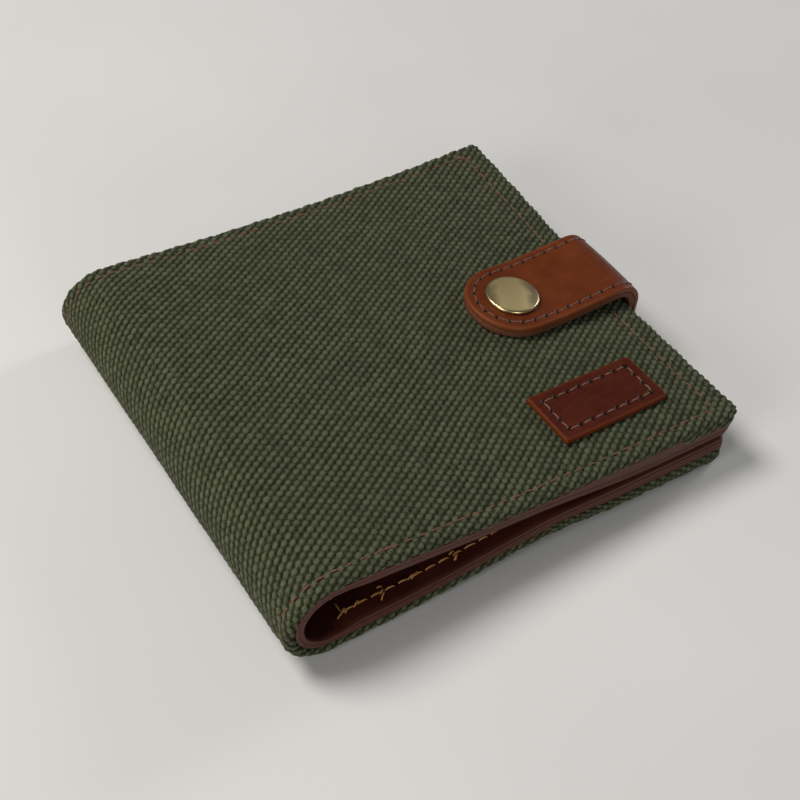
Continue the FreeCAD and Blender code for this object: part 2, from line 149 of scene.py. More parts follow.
# ---- the closed wallet's shape ----
# A point of a cover is (p, q, w): p runs from the middle of the roll to the cover's open edge
# along the outer face, q is y, and w is the depth inward from the outer face.
def section(s, w):
    """x and z of depth w at run s, which is negative on the back half and positive in front."""
    angle = mid_angle - np.clip(s, -half_roll, half_roll) / roll_radius
    x = roll_radius + (roll_radius - w) * np.cos(angle)
    z = roll_radius + (roll_radius - w) * np.sin(angle)
    back = np.maximum(-s - half_roll, 0)
    front = np.maximum(s - half_roll, 0)
    return x + back + front * math.cos(tilt), z - front * math.sin(tilt)


def back_lift(x, y):
    """The back cover bows up between the spine and its open edge, most at the near edge."""
    bow_start, bow_length = 26, 84
    bow = np.sin(math.pi * np.clip((x - bow_start) / bow_length, 0, 1)) ** 2
    bow = bow * (1 - 0.45 * smooth((x - 60) / 25))
    return bow_height * bow * (0.72 + 0.28 * (1 - y / height) ** 2)


def front_lift(x, y):
    """The front cover sags in the middle, and its far corner stands up."""
    v = y / height
    near_share = np.clip(1 - 2 * v, 0, 1) ** 2
    far_share = np.clip(2 * v - 1, 0, 1) ** 2
    swell = 0.55 * bell(x, 16, 9)
    dip = 0.95 * bell(x, 50, 12) + 0.7 * bell(x, 74, 12)
    droop = 0.9 * bell(x, 90, 15) * (1 - smooth(y / 9)) / np.maximum(near_share, 0.3)
    near = swell - dip - droop
    middle = smooth((x - 50) / 32) - 1
    curl_start, curl_length, far_sag = 15, 97, 2.5
    far = curl_height * (np.clip(x - curl_start, 0, None) / curl_length) ** 2 - far_sag
    return near * near_share + far * far_share + middle * (1 - near_share - far_share)


def edge_reach(p, q):
    """How far the front cover's open edge stands out past its mean line."""
    reach = bell(q, 80, 13) + 0.45 * (1 - smooth(q / 14))
    return reach * smooth((p - front_end + 30) / 25)


def near_reach(p, q):
    """How far the back cover's near edge and near corner stand out past their straight lines."""
    out_y = 0.6 * (1 - smooth(q / 10)) * smooth((p - half_roll - 40) / 30)
    out_x = 0.5 * (1 - smooth((q - 8) / 28)) * smooth((p - back_end + 30) / 25)
    return out_x, out_y


def cover_points(side, p, q, w):
    """Points of a cover as an array whose last axis is x, y, z."""
    if side == "back":
        out_x, out_y = near_reach(p, q)
        s, y = -p - out_x, q - out_y
    else:
        s, y = p + edge_reach(p, q), q
    x, z = section(s, w)
    share = smooth((s + half_roll) / (2 * half_roll))
    reach = np.maximum(x, front_start_x)
    z = z + back_lift(x, q) * (1 - share) + front_lift(reach, q) * share
    return np.stack([x, y + 0 * x, z], axis=-1)


def run_of(side, x):
    """p of the point of a cover's outer face that stands at x."""
    if side == "back":
        return half_roll + x - roll_radius
    return half_roll + (x - front_start_x) / math.cos(tilt)


def mount_on(body, piece, slot, *nodes):
    """Lets a piece ride on a body and stand for these CAD nodes."""
    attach(piece, body)
    if nodes:
        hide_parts(*nodes)


def over_spine(side, w, piece, slot, *nodes):
    """Bakes a piece of a cover into place and hides the CAD nodes that it stands for."""
    if side == "back":
        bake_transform(piece)
    else:
        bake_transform(piece)
    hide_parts(*nodes)


# ---- meshes ----
def quads(index):
    a, b = index[:-1, :-1], index[1:, :-1]
    c, d = index[1:, 1:], index[:-1, 1:]
    return np.stack([a, b, c, d], -1).reshape(-1, 4)


def wrapped(index):
    """An index grid whose last column meets its first one again."""
    return np.concatenate([index, index[:, :1]], axis=1)


def volume_of(points, faces):
    total = 0.0
    quad = np.array([f for f in faces if len(f) == 4])
    for k in (1, 2):
        a, b, c = points[quad[:, 0]], points[quad[:, k]], points[quad[:, k + 1]]
        total += np.einsum("ij,ij->i", a, np.cross(b, c)).sum()
    return total


def new_object(name, data):
    made = bpy.data.objects.new(name, data)
    bpy.context.scene.collection.objects.link(made)
    return made


def build(name, points, faces, material, tone=None, pit=None):
    """A smooth mesh object from wallet points; tone and pit are values per vertex for its material."""
    points = np.asarray(points, float).reshape(-1, 3)
    faces = [list(map(int, f)) for f in faces]
    if volume_of(points - points.mean(0), faces) < 0:
        faces = [f[::-1] for f in faces]
    mesh = bpy.data.meshes.new(name)
    placed = points * MM + np.array([spine_x, near_y, 0.0])
    mesh.from_pydata(placed.tolist(), [], faces)
    mesh.shade_smooth()
    for key, values in (("tone", tone), ("pit", pit)):
        if values is not None:
            layer = mesh.attributes.new(key, "FLOAT", "POINT")
            layer.data.foreach_set("value", np.asarray(values, np.float32).ravel())
    mesh.materials.append(material)
    return new_object(name, mesh)


def closed_sheet(top, bottom):
    """Joins two grids that share their outer rows into one closed sheet."""
    rows, cols = top.shape[:2]
    upper = np.arange(rows * cols).reshape(rows, cols)
    inner = np.zeros((rows, cols), bool)
    inner[1:-1, 1:-1] = True
    lower = upper.copy()
    lower[inner] = rows * cols + np.arange(inner.sum())
    points = np.concatenate([top.reshape(-1, 3), bottom[inner]])
    faces = np.concatenate([quads(upper), quads(lower)[:, ::-1]])
    return points, faces, inner


def edge_lines(start, end, round_over, step):
    """Grid lines from start to end, closer together where the edge is rounded over."""
    near = round_over * np.array([0, 0.06, 0.25, 0.55])
    count = max(2, round((end - start - 2 * round_over) / step))
    middle = np.linspace(start + round_over, end - round_over, count + 1)
    return np.concatenate([start + near, middle, end - near[::-1]])


def rounded_end(p, q, p_end, q_low, q_high, radius):
    """Moves grid points so that the two corners at p_end are round."""
    a = p - (p_end - radius)
    low = q_low + radius - q
    high = q - (q_high - radius)
    b = np.maximum(low, high)
    corner = (a > 0) & (b > 0)
    reach = np.maximum(a, b)
    angle = math.pi / 4 * np.minimum(a, b) / np.where(corner, reach, 1)
    along = np.where(a >= b, np.cos(angle), np.sin(angle))
    across = np.where(a >= b, np.sin(angle), np.cos(angle))
    side = np.where(low > high, -1, 1)
    base_q = np.where(low > high, q_low + radius, q_high - radius)
    new_p = np.where(corner, p_end - radius + reach * along, p)
    new_q = np.where(corner, base_q + side * reach * across, q)
    border = np.where(corner, radius - reach, np.minimum(p_end - p, np.minimum(q - q_low, q_high - q)))
    return new_p, new_q, border


def leather_sheet(name, place_at, spans, levels, material, radius, step=1.2,
                  round_over=edge_bend, relief=None, open_start=False):
    """A leather sheet over spans (p0, p1, q0, q1) between levels (low, high) as functions of
    p and q. place_at turns p, q and w into points; relief lowers the face away from low."""
    p0, p1, q0, q1 = spans
    p, q = np.meshgrid(edge_lines(p0, p1, round_over, step), edge_lines(q0, q1, round_over, step),
                       indexing="ij")
    start_gap = p - p0
    p, q, border = rounded_end(p, q, p1, q0, q1, radius)
    if open_start:
        border = np.where(start_gap < 1e-9, 0, border)
    else:
        border = np.minimum(border, start_gap)
    swell = np.sqrt(1 - (1 - np.clip(border / round_over, 0, 1)) ** 2)
    low, high = levels[0](p, q), levels[1](p, q)
    centre, half = (low + high) / 2, (high - low) / 2
    dent = relief(p, q) if relief else 0 * p
    top = place_at(p, q, centre + (half - dent) * swell)
    bottom = place_at(p, q, centre - half * swell)
    points, faces, inner = closed_sheet(top, bottom)
    # Edge tone for the material: real edge wear, and a painted highlight along the edges.
    edge_wear_and_highlight = np.clip(border / 0.9, 0, 1)
    tone = np.concatenate([edge_wear_and_highlight.ravel(), edge_wear_and_highlight[inner]])
    # pit marks the needle holes, which the leather material paints dark as shade.
    pit = np.concatenate([np.clip(dent / 0.22, 0, 1).ravel(), np.zeros(inner.sum())])
    return build(name, points, faces, material, tone, pit)


# ---- stitches ----
def thread_mesh(paths, normals, radius):
    """Points and faces of twisted threads along paths, flattened towards their ends."""
    count, steps = paths.shape[:2]
    sides = 7
    tangent = np.gradient(paths, axis=1)
    tangent /= np.linalg.norm(tangent, axis=-1, keepdims=True)
    across = np.cross(tangent, normals)
    across /= np.linalg.norm(across, axis=-1, keepdims=True)
    upright = np.cross(across, tangent)
    run = np.linspace(0, 1, steps)
    thick = radius * (0.35 + 0.65 * np.sin(math.pi * (0.08 + 0.84 * run)) ** 0.6)
    around = np.linspace(0, 2 * math.pi, sides, endpoint=False)
    twist = 1 + 0.13 * np.cos(2 * around[None] - 14 * run[:, None])
    ring = thick[:, None] * twist
    side_part = (ring * np.cos(around)[None])[None, :, :, None] * across[:, :, None]
    up_part = (ring * np.sin(around)[None])[None, :, :, None] * upright[:, :, None] * 0.85
    points = paths[:, :, None] + side_part + up_part
    faces = []
    for k in range(count):
        base = k * steps * sides
        index = wrapped(base + np.arange(steps * sides).reshape(steps, sides))
        faces += quads(index).tolist()
        faces += [index[0, :-1].tolist(), index[-1, :-1].tolist()[::-1]]
    return points.reshape(-1, 3), faces


def threads_between(place_at, stitches, level_of, radius, side):
    """Threads between pairs of (p, q) points, which run from t = 0 to 1 at the depth level_of(t).
    side is 1 where w grows towards the seen face and -1 where it grows away from it."""
    ends = np.array(stitches, float)
    t = np.linspace(0, 1, 9)[None, :, None]
    run = ends[:, :1] + (ends[:, 1:] - ends[:, :1]) * t
    level = np.broadcast_to(level_of(t[..., 0]), run.shape[:2])
    paths = place_at(run[..., 0], run[..., 1], level)
    beside = place_at(run[..., 0], run[..., 1], level + 0.2)
    return thread_mesh(paths, (beside - paths) * side, radius)


def seam(name, place_at, stitches, w, material, radius, rise, sink=0.45):
    """Threads that lie on the face at depth w and dive into it at both ends."""
    def level_of(t):
        return w - rise * np.sin(math.pi * t) ** 0.7 + sink * (2 * t - 1) ** 6

    points, faces = threads_between(place_at, stitches, level_of, radius, -1)
    return build(name, points, faces, material)


def stitch_line(start, end, pitch=stitch_pitch, length=2.5, skip=None, jitter=0.08):
    """Stitches in a straight row; skip leaves out those whose middle it names."""
    start, end = np.array(start, float), np.array(end, float)
    count = max(1, round(np.linalg.norm(end - start) / pitch))
    way = (end - start) / np.linalg.norm(end - start)
    found = []
    for i in range(count):
        centre = start + (end - start) * (i + 0.5) / count
        if skip is None or not skip(*centre):
            lean_off = random.normal(0, jitter, 2)
            found.append((centre - way * length / 2 + lean_off, centre + way * length / 2 - lean_off))
    return found


def back_tack(centre, way, count, spread):
    """A few stitches over one another where a seam is locked."""
    centre, way = np.array(centre, float), np.array(way, float)
    found = []
    for _ in range(count):
        off = random.normal(0, spread, 2)
        found.append((centre - way * 1.3 + off, centre + way * 1.3 + off * 0.4))
    return found


# ---- materials ----
class Shader:
    """A material's node tree with short ways to add and join nodes."""

    def __init__(self, name):
        self.material = bpy.data.materials.new(name)
        self.material.use_nodes = True
        self.tree = self.material.node_tree
        self.surface = self.tree.nodes["Principled BSDF"]

    def add(self, kind, settings=None, **inputs):
        made = self.tree.nodes.new(kind)
        for key, value in (settings or {}).items():
            setattr(made, key, value)
        for key, value in inputs.items():
            self.put(made, key.replace("_", " "), value)
        return made

    def put(self, target, key, value):
        socket = target.inputs[int(key[1:])] if key[0] == "n" and key[1:].isdigit() else target.inputs[key]
        if isinstance(value, bpy.types.NodeSocket):
            self.tree.links.new(value, socket)
        else:
            socket.default_value = value

    def place(self, scale=(1, 1, 1), turn=0.0):
        coords = self.add("ShaderNodeTexCoord").outputs["Object"]
        mapping = self.add("ShaderNodeMapping", Vector=coords)
        mapping.inputs["Scale"].default_value = scale
        mapping.inputs["Rotation"].default_value = (0, 0, turn)
        return mapping.outputs["Vector"]

    def noise(self, scale, detail, stretch=(1, 1, 1), turn=0.0, rough=0.5):
        made = self.add("ShaderNodeTexNoise", Vector=self.place(stretch, turn), Scale=scale,
                        Detail=detail, Roughness=rough)
        return made.outputs["Fac"]

    def cells(self, scale):
        return self.add("ShaderNodeTexVoronoi", Vector=self.place(), Scale=scale).outputs["Distance"]

    def total(self, a, b):
        return self.add("ShaderNodeMath", n0=a, n1=b).outputs["Value"]

    def span(self, value, low, high, new_low=0.0, new_high=1.0):
        made = self.add("ShaderNodeMapRange", Value=value)
        for key, number in {"From Min": low, "From Max": high, "To Min": new_low,
                            "To Max": new_high}.items():
            made.inputs[key].default_value = number
        return made.outputs["Result"]

    def mix(self, share, a, b):
        made = self.add("ShaderNodeMix", {"data_type": "RGBA"})
        for key, value in (("n0", share), ("n6", a), ("n7", b)):
            self.put(made, key, (*value, 1) if isinstance(value, tuple) else value)
        return made.outputs[2]

    def tone(self, name="tone"):
        return self.add("ShaderNodeAttribute", {"attribute_name": name}).outputs["Fac"]

    def bump(self, height_value, distance, strength=1.0, below=None):
        made = self.add("ShaderNodeBump", Height=height_value, Distance=distance, Strength=strength)
        if below is not None:
            self.put(made, "Normal", below)
        return made.outputs["Normal"]

    def finish(self, **inputs):
        for key, value in inputs.items():
            self.put(self.surface, key.replace("_", " "), value)
        return self.material


def canvas_material():
    s = Shader("olive_canvas")
    nub = s.tone()
    fibres = s.noise(2300, 3, (1, 2.2, 1), 0.5, 0.65)
    patches = s.noise(42, 3)
    # The nub tone sets the colour: near black in the gaps as painted shade, bright on the nub tops as
    # painted highlight.
    colour = s.mix(s.span(nub, 0.16, 0.60), (0.0014, 0.0018, 0.0003), (0.036, 0.040, 0.016))
    colour = s.mix(s.span(nub, 0.58, 0.95), colour, (0.088, 0.095, 0.050))
    # Bright fibre flecks are painted highlights on the nubs.
    colour = s.mix(s.span(fibres, 0.52, 0.72, 0.0, 0.55), colour, (0.165, 0.175, 0.115))
    colour = s.mix(s.span(fibres, 0.48, 0.3, 0.0, 0.45), colour, (0.018, 0.021, 0.007))
    colour = s.mix(s.span(patches, 0.35, 0.7, 0.0, 0.12), colour, (0.035, 0.040, 0.017))
    normal = s.bump(fibres, 0.00013, 0.8)
    return s.finish(Base_Color=colour, Roughness=0.9, Normal=normal, Sheen_Weight=0.05,
                    Sheen_Roughness=0.5, Specular_IOR_Level=0.12)


def leather_material(name, face, deep, worn_and_highlight, rough=0.42, grain=900, shine=0.2, coat=0.04):
    """Leather whose tone fades from the worn colour at its edges to the face colour; that edge colour is
    partly real edge wear and partly a painted highlight line along the edges.
    """
    s = Shader(name)
    clouds = s.noise(95, 4)
    streaks = s.noise(260, 3, (1, 4, 1), 0.4)
    pores = s.cells(grain)
    creases = s.noise(grain * 0.6, 4, rough=0.6)
    colour = s.mix(s.span(clouds, 0.35, 0.68), deep, face)
    colour = s.mix(s.span(streaks, 0.5, 0.75, 0.0, 0.25), colour, worn_and_highlight)
    # Edge tone: real edge wear, and a painted highlight along the edges.
    edge_wear_and_highlight = s.tone()
    colour = s.mix(s.span(edge_wear_and_highlight, 0.9, 0.0, 0.0, 0.75), colour, worn_and_highlight)
    # Needle holes painted near black: painted shade in the pits.
    colour = s.mix(s.tone("pit"), colour, (0.004, 0.002, 0.001))
    normal = s.bump(creases, 0.000075, 0.6)
    normal = s.bump(pores, 0.00005, 0.5, normal)
    gloss = s.span(clouds, 0.3, 0.7, rough - 0.06, rough + 0.1)
    return s.finish(Base_Color=colour, Roughness=gloss, Normal=normal, Coat_Weight=coat,
                    Coat_Roughness=0.25, Specular_IOR_Level=shine)


def thread_material(name, dark, light):
    s = Shader(name)
    strands = s.noise(3500, 2, (1, 1, 3))
    colour = s.mix(s.span(strands, 0.3, 0.7), dark, light)
    return s.finish(Base_Color=colour, Roughness=0.75, Sheen_Weight=0.05, Specular_IOR_Level=0.25,
                    Normal=s.bump(strands, 0.00006))


def brass_material():
    s = Shader("antique_brass")
    brushing = s.noise(900, 3, (1, 14, 1), 0.9)
    blotch = s.noise(260, 3)
    # The tone darkens the cap's sides, on the right as painted shade; blotch noise adds random darker
    # patches.
    darkening = s.total(s.tone(), s.span(blotch, 0.3, 0.7, -0.15, 0.15))
    colour = s.mix(s.span(darkening, 0.25, 0.85), (0.60, 0.475, 0.225), (0.17, 0.125, 0.072))
    colour = s.mix(s.span(brushing, 0.35, 0.7, 0.0, 0.3), colour, (0.60, 0.53, 0.32))
    return s.finish(Base_Color=colour, Metallic=1.0, Roughness=s.span(s.tone("pit"), 0.0, 1.0, 0.52, 0.3),
                    Normal=s.bump(brushing, 0.00002, 0.5))


def steel_material():
    s = Shader("spring_steel")
    scratches = s.noise(1200, 2, (1, 9, 1))
    colour = s.mix(s.span(scratches, 0.3, 0.7), (0.32, 0.32, 0.33), (0.55, 0.55, 0.56))
    return s.finish(Base_Color=colour, Metallic=1.0, Roughness=s.span(scratches, 0.3, 0.7, 0.22, 0.4))


def board_material():
    s = Shader("grey_board")
    flecks = s.noise(1400, 3)
    colour = s.mix(s.span(flecks, 0.3, 0.7), (0.20, 0.17, 0.13), (0.36, 0.32, 0.26))
    return s.finish(Base_Color=colour, Roughness=0.95, Normal=s.bump(flecks, 0.0001))


def floor_material():
    s = Shader("pale_floor")
    cloud = s.noise(6, 3)
    colour = s.mix(s.span(cloud, 0.3, 0.7), (0.60, 0.59, 0.57), (0.66, 0.65, 0.63))
    return s.finish(Base_Color=colour, Roughness=0.7)


canvas_finish = canvas_material()
strap_finish = leather_material("tan_leather", (0.125, 0.025, 0.0045), (0.090, 0.017, 0.003),
                                (0.17, 0.046, 0.013), shine=0.14, coat=0.12)
patch_finish = leather_material("patch_leather", (0.068, 0.0085, 0.0018), (0.048, 0.006, 0.0012),
                                (0.125, 0.027, 0.006), rough=0.5, shine=0.1)
strap_back_finish = leather_material("strap_back_leather", (0.085, 0.022, 0.009),
                                     (0.050, 0.013, 0.006), (0.115, 0.042, 0.020), rough=0.6)
lining_finish = leather_material("lining_leather", (0.075, 0.017, 0.010), (0.045, 0.010, 0.006),
                                 (0.080, 0.026, 0.016), rough=0.42, grain=700)
brown_thread = thread_material("brown_thread", (0.060, 0.022, 0.013), (0.205, 0.095, 0.060))
pink_thread = thread_material("pink_brown_thread", (0.075, 0.030, 0.022), (0.22, 0.115, 0.088))
gold_thread = thread_material("golden_thread", (0.26, 0.10, 0.022), (0.66, 0.36, 0.12))
brass_finish = brass_material()
steel_finish = steel_material()
board_finish = board_material()


# ---- canvas covers ----
nub_shade = random.random((256, 256))
nub_size = 1 + 0.05 * random.standard_normal((256, 256))
nub_turn = math.atan2(yarn_y, yarn_x)
edge_under = 1.0                 # canvas that lies flat under the cover past its rolled edge
edge_wrap = math.pi * rim + edge_under
canvas_step_p, canvas_step_q = 0.29, 0.215


def weave(p, q):
    """Height in mm and tone from 0 to 1 of a weave: tall nubs, and low ones that bridge them. The colour
    follows this tone, which paints shade into the low gaps and highlight onto the nub tops.
    """
    a = (p + 0.035 * q + 0.10 * np.sin(0.31 * q) + 0.12 * np.sin(0.17 * p + 0.13 * q)) / yarn_x
    b = (q - 0.02 * p + 0.07 * np.sin(0.27 * p) + 0.08 * np.sin(0.19 * q + 0.11 * p)) / yarn_y
    u, v = (a + b) / 2, (a - b) / 2
    level, shade = np.full(p.shape, 0.05), np.zeros(p.shape)
    for half, rise, narrow in ((0.0, 1.0, 1.0), (0.5, 0.44, 0.80)):
        for step_u, step_v in ((0, 0), (1, 0), (-1, 0), (0, 1), (0, -1), (1, -1), (-1, 1)):
            site_u = np.round(u - half).astype(int) + step_u
            site_v = np.round(v - half).astype(int) + step_v
            off_u, off_v = u - half - site_u, v - half - site_v
            off_x, off_y = (off_u + off_v) * yarn_x, (off_u - off_v) * yarn_y
            along = off_x * math.cos(nub_turn) + off_y * math.sin(nub_turn)
            across = off_y * math.cos(nub_turn) - off_x * math.sin(nub_turn)
            size = nub_size[site_u % 256, site_v % 256] * narrow
            reach = (along / (nub_long * narrow)) ** 2 + (across / (nub_wide * size)) ** 2
            dome = rise * np.sqrt(np.clip(1 - reach ** 1.1, 0, 1)) * size
            shade = np.where(dome > level, nub_shade[site_u % 256, site_v % 256], shade)
            level = np.maximum(level, dome)
    return nub_height * (level - 0.7), np.clip(level, 0, 1) * (0.84 + 0.22 * shade)


def seam_dent(p, q, end):
    """How far the seam pulls the canvas down."""
    low, high = np.abs(q - edge_inset), np.abs(q - (height - edge_inset))
    side = np.abs(p - (end - open_inset)) + 9 * ((q < edge_inset) | (q > height - edge_inset))
    row = np.minimum(low, high) + 9 * (p > end - open_inset)
    return 0.26 * np.exp(-(np.minimum(row, side) / 0.75) ** 2)


def canvas_grid(end):
    """Grid of p and q fine enough for the nubs, running on round the turned edges."""
    p_line = np.linspace(0, end - rim + edge_wrap, round((end + edge_wrap) / canvas_step_p))
    q_line = np.linspace(rim - edge_wrap, height - rim + edge_wrap,
                         round((height + 2 * edge_wrap) / canvas_step_q))
    return np.meshgrid(p_line, q_line, indexing="ij")


def turned_edges(side, p, q):
    """Outer canvas as p, q and depth, with its edges rolled over and turned in, and its tone."""
    end = cover_end[side]
    flat_p, flat_q, _ = rounded_end(p, q, p[-1, 0], q[0, 0], q[0, -1], corner_core + edge_wrap)
    core_p = end - rim - corner_core
    low, high = rim + corner_core - q, q - (height - rim - corner_core)
    a, b = p - core_p, np.maximum(low, high)
    corner = (a > 0) & (b > 0)
    over = np.maximum(np.maximum(a, b) - corner_core, 0)
    centre_p = np.where(a > 0, core_p, p)
    centre_q = np.where(low > 0, rim + corner_core, np.where(high > 0, height - rim - corner_core, q))
    out_p = np.where((b > 0) & ~corner, 0, flat_p - centre_p)
    out_q = flat_q - centre_q
    span = np.hypot(out_p, out_q)
    away = np.maximum(span, 1e-9)
    # tone: painted shade in the weave's gaps and painted highlight on its nub tops
    bump, tone = weave(-p if side == "back" else p, q)
    fade = 1 - smooth((over - 0.8 * math.pi * rim) / rim)
    bump = (bump - seam_dent(p, q, end)) * fade
    bump += 0.05 * np.sin(0.23 * p + 1.3) * np.sin(0.19 * q + 0.4)
    turn = np.minimum(over / rim, math.pi)
    past = np.maximum(over - math.pi * rim, 0)
    ragged = 0.12 * np.sin(0.9 * p + 0.7 * q) * smooth(over) * (turn < math.pi)
    reach = np.minimum(span, corner_core) + (rim + bump) * np.sin(turn) - past + ragged
    depth = rim - (rim + bump) * np.cos(turn)
    return centre_p + out_p / away * reach, centre_q + out_q / away * reach, depth, tone


def canvas_lining(side, p_line):
    """Inner face of the hollow canvas piece, set back where the stiffener lies."""
    end = cover_end[side]
    low, high, step_in = hem_width, height - hem_width, 0.3
    between = np.linspace(25, 77, 5)
    q_line = np.concatenate([[4, low, low + step_in], between, [high - step_in, high, height - 4.0]])
    p, q = np.meshgrid(np.minimum(p_line, end - 2.3), q_line, indexing="ij")
    inside = (q > low + 0.1) & (q < high - 0.1) & (p < end - hem_width)
    return cover_points(side, p, q, np.where(inside, board_face, hem))


def canvas_cover(side):
    """One half of the canvas, from the middle of the roll to the open edge, closed and hollow."""
    p, q = canvas_grid(cover_end[side])
    new_p, new_q, depth, tone = turned_edges(side, p, q)
    outer = cover_points(side, new_p, new_q, depth)
    inner = canvas_lining(side, new_p[:, 0])
    index = np.arange(p.size).reshape(p.shape)
    inner_index = p.size + np.arange(inner[..., 0].size).reshape(inner.shape[:2])
    strip = np.concatenate([index[:, :1], inner_index, index[:, -1:]], axis=1)
    faces = quads(index).tolist() + quads(strip)[:, ::-1].tolist()
    faces.append(index[0].tolist() + inner_index[0, ::-1].tolist())
    faces.append(index[-1, ::-1].tolist() + inner_index[-1].tolist())
    points = np.concatenate([outer.reshape(-1, 3), inner.reshape(-1, 3)])
    tones = np.concatenate([tone.ravel(), np.full(inner_index.size, 0.4)])
    made = build(f"{side}_canvas_cover", points, faces, canvas_finish, tones)
    over_spine(side, 0.0, made, "canvas", f"{side}_canvas", "spine_canvas")


def by_depth(place_at):
    """Turns a placing whose w is a height into one whose w is a depth."""
    return lambda p, q, w: place_at(p, q, -w)


def on_cover(side):
    return lambda p, q, w: cover_points(side, p, q, w)


def flat(level):
    return lambda p, q: level + 0 * p


def corner_push(end):
    """How far the leather inside stands inward at the near edge, which closes the gap there."""
    most = 2.4 if end == front_end else 1.9
    run_in, run_out = 62, 17
    full_q, fade_q = 4, 14

    def push(p, q):
        along = smooth((p - end + run_in) / (run_in - run_out))
        return most * along * (1 - smooth((q - full_q) / fade_q))
    return push


def wall_low(end):
    """Underside of the compartment wall: sewn down near the edges, loose at the far edge."""
    push = corner_push(end)

    def level(p, q):
        loose = smooth((q - 1.5) / 6) * smooth((end - 3 - p) / 5)
        return lining_top + sheet_gap + (wall_base - lining_top) * loose + push(p, q)
    return level


pocket_thin, pocket_sunk = 0.1, 0.12    # thickness at the spine, and depth in the wall there


def pocket_taper(p):
    """The pockets thin out towards the spine."""
    return smooth((p - half_roll - pocket_start) / 7)


def pocket_low(row, end):
    """Underside of a card pocket, which steps up over the feet of the pockets below it."""
    feet = [pocket_rows["middle"][0], pocket_rows["top"][0]]
    climb = {"top": [], "middle": feet[1:], "front": feet}[row]

    def level(p, q):
        base = wall_low(end)(p, q) + sheet - pocket_sunk + (pocket_sunk + 0.03) * pocket_taper(p)
        for foot in climb:
            base = base + (sheet + sheet_gap) * smooth((q - (foot - 5)) / 4.5) * pocket_taper(p)
        return base
    return level


def stacked(low, thick):
    return lambda p, q: low(p, q) + thick


def pocket_top(row, end):
    low = pocket_low(row, end)
    return lambda p, q: low(p, q) + pocket_thin + (sheet - pocket_thin) * pocket_taper(p)


def cover_seam(side):
    """The edge seam of one cover with its half of the roll."""
    end = cover_end[side]
    low, high = edge_inset, height - edge_inset
    corner = end - open_inset

    def under_strap(p, q):
        return abs(q - strap_y) < (strap_far - strap_near) / 2 + 1.5

    rows = stitch_line((0, low), (corner, low))
    rows += stitch_line((corner, low), (corner, high), skip=under_strap)
    rows += stitch_line((corner, high), (0, high))
    if side == "front":
        rows += back_tack((run_of(side, 24), low), (1, 0), 3, 0.15)
        rows += back_tack((corner - 1, high), (0.7, -0.7), 4, 0.3)
    sunk = 0.34
    made = seam(f"{side}_edge_seam", on_cover(side), rows, sunk, brown_thread, radius=0.23, rise=0.14)
    over_spine(side, 0.0, made, "brown_thread", f"{side}_edge_stitching", "spine_stitching")


def pocket_rows_of_stitches(side):
    """Pairs of a pocket's face and the stitches that lie on it."""
    end = cover_end[side]
    spine_seam, open_seam, near_seam = half_roll + pocket_start + 3.0, end - 4.4, 4.0
    faces = [(pocket_top(row, end), pocket_rows[row][1]) for row in ("front", "middle", "top")]
    faces.append((stacked(wall_low(end), sheet), wall_far - 2))
    rows = stitch_line((spine_seam, near_seam), (open_seam, near_seam))
    for run in (0.5, 3.5, 9.0, 17.0, 26.0):
        rows += back_tack((spine_seam + run, near_seam), (0.6, 0.3), 3, 0.45)
    found = [(faces[0][0], rows)]
    low = near_seam
    for face, high in faces:
        rows = stitch_line((spine_seam, low), (spine_seam, high))
        rows += stitch_line((open_seam, low), (open_seam, high))
        found.append((face, rows))
        low = high
    return found


def pocket_seams(side):
    """Golden seams of the card pockets."""
    joined_points, joined_faces, used = [], [], 0

    def level_of(t):
        return 0.12 + 0.22 * np.sin(math.pi * t) - 0.3 * (2 * t - 1) ** 6

    for face, rows in pocket_rows_of_stitches(side):
        def place_at(p, q, w):
            return cover_points(side, p, q, face(p, q) + w)

        points, faces = threads_between(place_at, rows, level_of, 0.21, 1)
        joined_points.append(points)
        joined_faces += [[v + used for v in f] for f in faces]
        used += len(points)
    made = build(f"{side}_pocket_seams", np.concatenate(joined_points), joined_faces, gold_thread)
    mount_on(f"{side}_cover", made, "golden_thread", f"{side}_pocket_stitching")


def stiffener(side):
    border = hem_width + 0.6
    board = leather_sheet(f"{side}_board", on_cover(side),
                          (half_roll + 1, cover_end[side] - border, border, height - border),
                          (flat(board_face + board_room), flat(hem - board_room)), board_finish,
                          radius=2, step=6)
    mount_on(f"{side}_cover", board, "board", f"{side}_stiffener")


def lining_and_wall(side):
    """Leather lining and the compartment wall on it, which both run on round the roll."""
    end = cover_end[side]
    low = wall_low(end)
    for name, inset, far, levels, part in (
            ("lining_leather", 0, height - lining_inset,
             (flat(hem + sheet_gap), stacked(corner_push(end), lining_top)), "lining"),
            ("note_wall", 0.2, wall_far, (low, stacked(low, sheet)), "bill_wall")):
        made = leather_sheet(f"{side}_{name}", on_cover(side),
                             (0, end - lining_inset - inset, edge_show, far), levels, lining_finish,
                             radius=1.1, open_start=True)
        over_spine(side, hem if part == "lining" else wall_base, made, "dark_leather",
                   f"{side}_{part}", f"spine_{part}")


def card_pockets(side):
    end = cover_end[side]
    for row, (foot, top) in pocket_rows.items():
        spans = (half_roll + pocket_start, end - lining_inset - 0.3, max(foot, edge_show + 0.15), top)
        pocket = leather_sheet(f"{side}_pocket_{row}", on_cover(side), spans,
                               (pocket_low(row, end), pocket_top(row, end)),
                               lining_finish, radius=1.2)
        mount_on(f"{side}_cover", pocket, "dark_leather", f"{side}_card_pocket_{row}")


for cover in ("back", "front"):
    canvas_cover(cover)
    stiffener(cover)
    lining_and_wall(cover)
    card_pockets(cover)
    cover_seam(cover)
    pocket_seams(cover)


